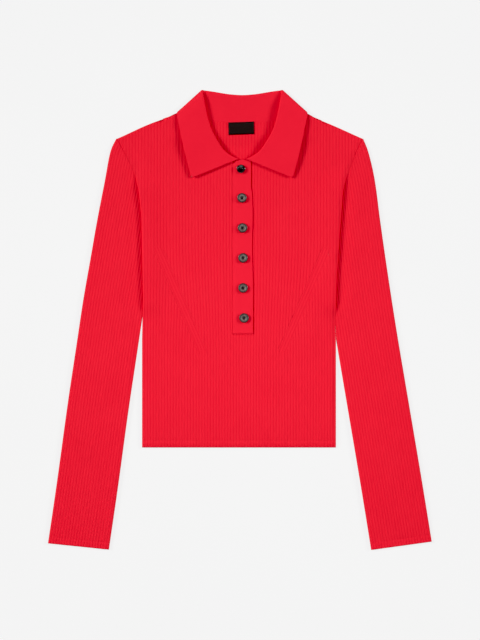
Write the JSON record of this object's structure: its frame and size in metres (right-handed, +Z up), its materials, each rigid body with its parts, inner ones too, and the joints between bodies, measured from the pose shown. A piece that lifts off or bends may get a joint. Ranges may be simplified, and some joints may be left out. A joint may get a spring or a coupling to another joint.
{
  "type": "rib knit polo sweater",
  "caption": "Cropped rib knit polo sweater laid flat on its back, with long slim sleeves drawn down, a folded collar and a half-length buttoned placket.",
  "frame": {"origin": "centre of the bounding box in plan, on the surface the sweater is laid on", "axes": "+X to the right of the laid sweater as it is looked down on, +Y along its length towards the collar, +Z up off the surface"},
  "size_m": [0.6148, 0.7358, 0.0111],
  "materials": {
    "rib_knit": "matt fine-gauge rib knit, plain red",
    "plain_knit": "matt close plain knit, plain red",
    "horn": "grey-brown horn look, satin",
    "black_gloss": "glossy black",
    "woven_label": "plain black woven tape"
  },
  "bodies": {
    "root": {"back": "rib_knit", "front": "rib_knit", "sleeve_left": "rib_knit", "sleeve_right": "rib_knit", "collar": "plain_knit", "placket_over": "plain_knit", "placket_under": "plain_knit", "button_1": "black_gloss", "button_2": "horn", "button_3": "horn", "button_4": "horn", "button_5": "horn", "button_6": "horn", "label": "woven_label"}
  },
  "joints": []
}
